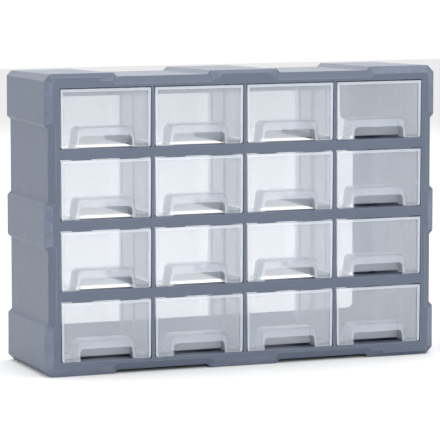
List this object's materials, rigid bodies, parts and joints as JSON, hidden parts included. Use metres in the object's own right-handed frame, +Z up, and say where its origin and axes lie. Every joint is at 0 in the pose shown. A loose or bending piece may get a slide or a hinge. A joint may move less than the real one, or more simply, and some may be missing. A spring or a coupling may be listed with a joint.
{
  "type": "parts bin cabinet",
  "caption": "Free-standing parts bin cabinet: a moulded plastic housing with raised corner and middle blocks and equal translucent pull-out drawers with finger-pull notches.",
  "frame": {"origin": "centre of the footprint, on the plane that the feet stand on", "axes": "+X to the right along the width, +Y from the drawer fronts to the rear, +Z up"},
  "size_m": [0.52, 0.16, 0.368],
  "materials": {
    "housing_plastic": "fine satin grain, blue-grey",
    "runner_plastic": "plain matte, blue-grey",
    "drawer_plastic": "translucent, milky, satin gloss"
  },
  "bodies": {
    "housing": {"front_frame": "housing_plastic", "outer_shell": "housing_plastic", "rear_frame": "housing_plastic", "runners_row_1": "runner_plastic", "runners_row_2": "runner_plastic", "runners_row_3": "runner_plastic", "runners_row_4": "runner_plastic"},
    "drawer_r1c1": {"drawer_r1c1": "drawer_plastic"},
    "drawer_r1c2": {"drawer_r1c2": "drawer_plastic"},
    "drawer_r1c3": {"drawer_r1c3": "drawer_plastic"},
    "drawer_r1c4": {"drawer_r1c4": "drawer_plastic"},
    "drawer_r2c1": {"drawer_r2c1": "drawer_plastic"},
    "drawer_r2c2": {"drawer_r2c2": "drawer_plastic"},
    "drawer_r2c3": {"drawer_r2c3": "drawer_plastic"},
    "drawer_r2c4": {"drawer_r2c4": "drawer_plastic"},
    "drawer_r3c1": {"drawer_r3c1": "drawer_plastic"},
    "drawer_r3c2": {"drawer_r3c2": "drawer_plastic"},
    "drawer_r3c3": {"drawer_r3c3": "drawer_plastic"},
    "drawer_r3c4": {"drawer_r3c4": "drawer_plastic"},
    "drawer_r4c1": {"drawer_r4c1": "drawer_plastic"},
    "drawer_r4c2": {"drawer_r4c2": "drawer_plastic"},
    "drawer_r4c3": {"drawer_r4c3": "drawer_plastic"},
    "drawer_r4c4": {"drawer_r4c4": "drawer_plastic"}
  },
  "joints": [
    {"name": "drawer_r1c1_slide", "type": "slide", "parent": "housing", "child": "drawer_r1c1", "axis": [0, -1, 0], "range_m": [0, 0.119]},
    {"name": "drawer_r1c2_slide", "type": "slide", "parent": "housing", "child": "drawer_r1c2", "axis": [0, -1, 0], "range_m": [0, 0.119]},
    {"name": "drawer_r1c3_slide", "type": "slide", "parent": "housing", "child": "drawer_r1c3", "axis": [0, -1, 0], "range_m": [0, 0.119]},
    {"name": "drawer_r1c4_slide", "type": "slide", "parent": "housing", "child": "drawer_r1c4", "axis": [0, -1, 0], "range_m": [0, 0.119]},
    {"name": "drawer_r2c1_slide", "type": "slide", "parent": "housing", "child": "drawer_r2c1", "axis": [0, -1, 0], "range_m": [0, 0.119]},
    {"name": "drawer_r2c2_slide", "type": "slide", "parent": "housing", "child": "drawer_r2c2", "axis": [0, -1, 0], "range_m": [0, 0.119]},
    {"name": "drawer_r2c3_slide", "type": "slide", "parent": "housing", "child": "drawer_r2c3", "axis": [0, -1, 0], "range_m": [0, 0.119]},
    {"name": "drawer_r2c4_slide", "type": "slide", "parent": "housing", "child": "drawer_r2c4", "axis": [0, -1, 0], "range_m": [0, 0.119]},
    {"name": "drawer_r3c1_slide", "type": "slide", "parent": "housing", "child": "drawer_r3c1", "axis": [0, -1, 0], "range_m": [0, 0.119]},
    {"name": "drawer_r3c2_slide", "type": "slide", "parent": "housing", "child": "drawer_r3c2", "axis": [0, -1, 0], "range_m": [0, 0.119]},
    {"name": "drawer_r3c3_slide", "type": "slide", "parent": "housing", "child": "drawer_r3c3", "axis": [0, -1, 0], "range_m": [0, 0.119]},
    {"name": "drawer_r3c4_slide", "type": "slide", "parent": "housing", "child": "drawer_r3c4", "axis": [0, -1, 0], "range_m": [0, 0.119]},
    {"name": "drawer_r4c1_slide", "type": "slide", "parent": "housing", "child": "drawer_r4c1", "axis": [0, -1, 0], "range_m": [0, 0.119]},
    {"name": "drawer_r4c2_slide", "type": "slide", "parent": "housing", "child": "drawer_r4c2", "axis": [0, -1, 0], "range_m": [0, 0.119]},
    {"name": "drawer_r4c3_slide", "type": "slide", "parent": "housing", "child": "drawer_r4c3", "axis": [0, -1, 0], "range_m": [0, 0.119]},
    {"name": "drawer_r4c4_slide", "type": "slide", "parent": "housing", "child": "drawer_r4c4", "axis": [0, -1, 0], "range_m": [0, 0.119]}
  ]
}
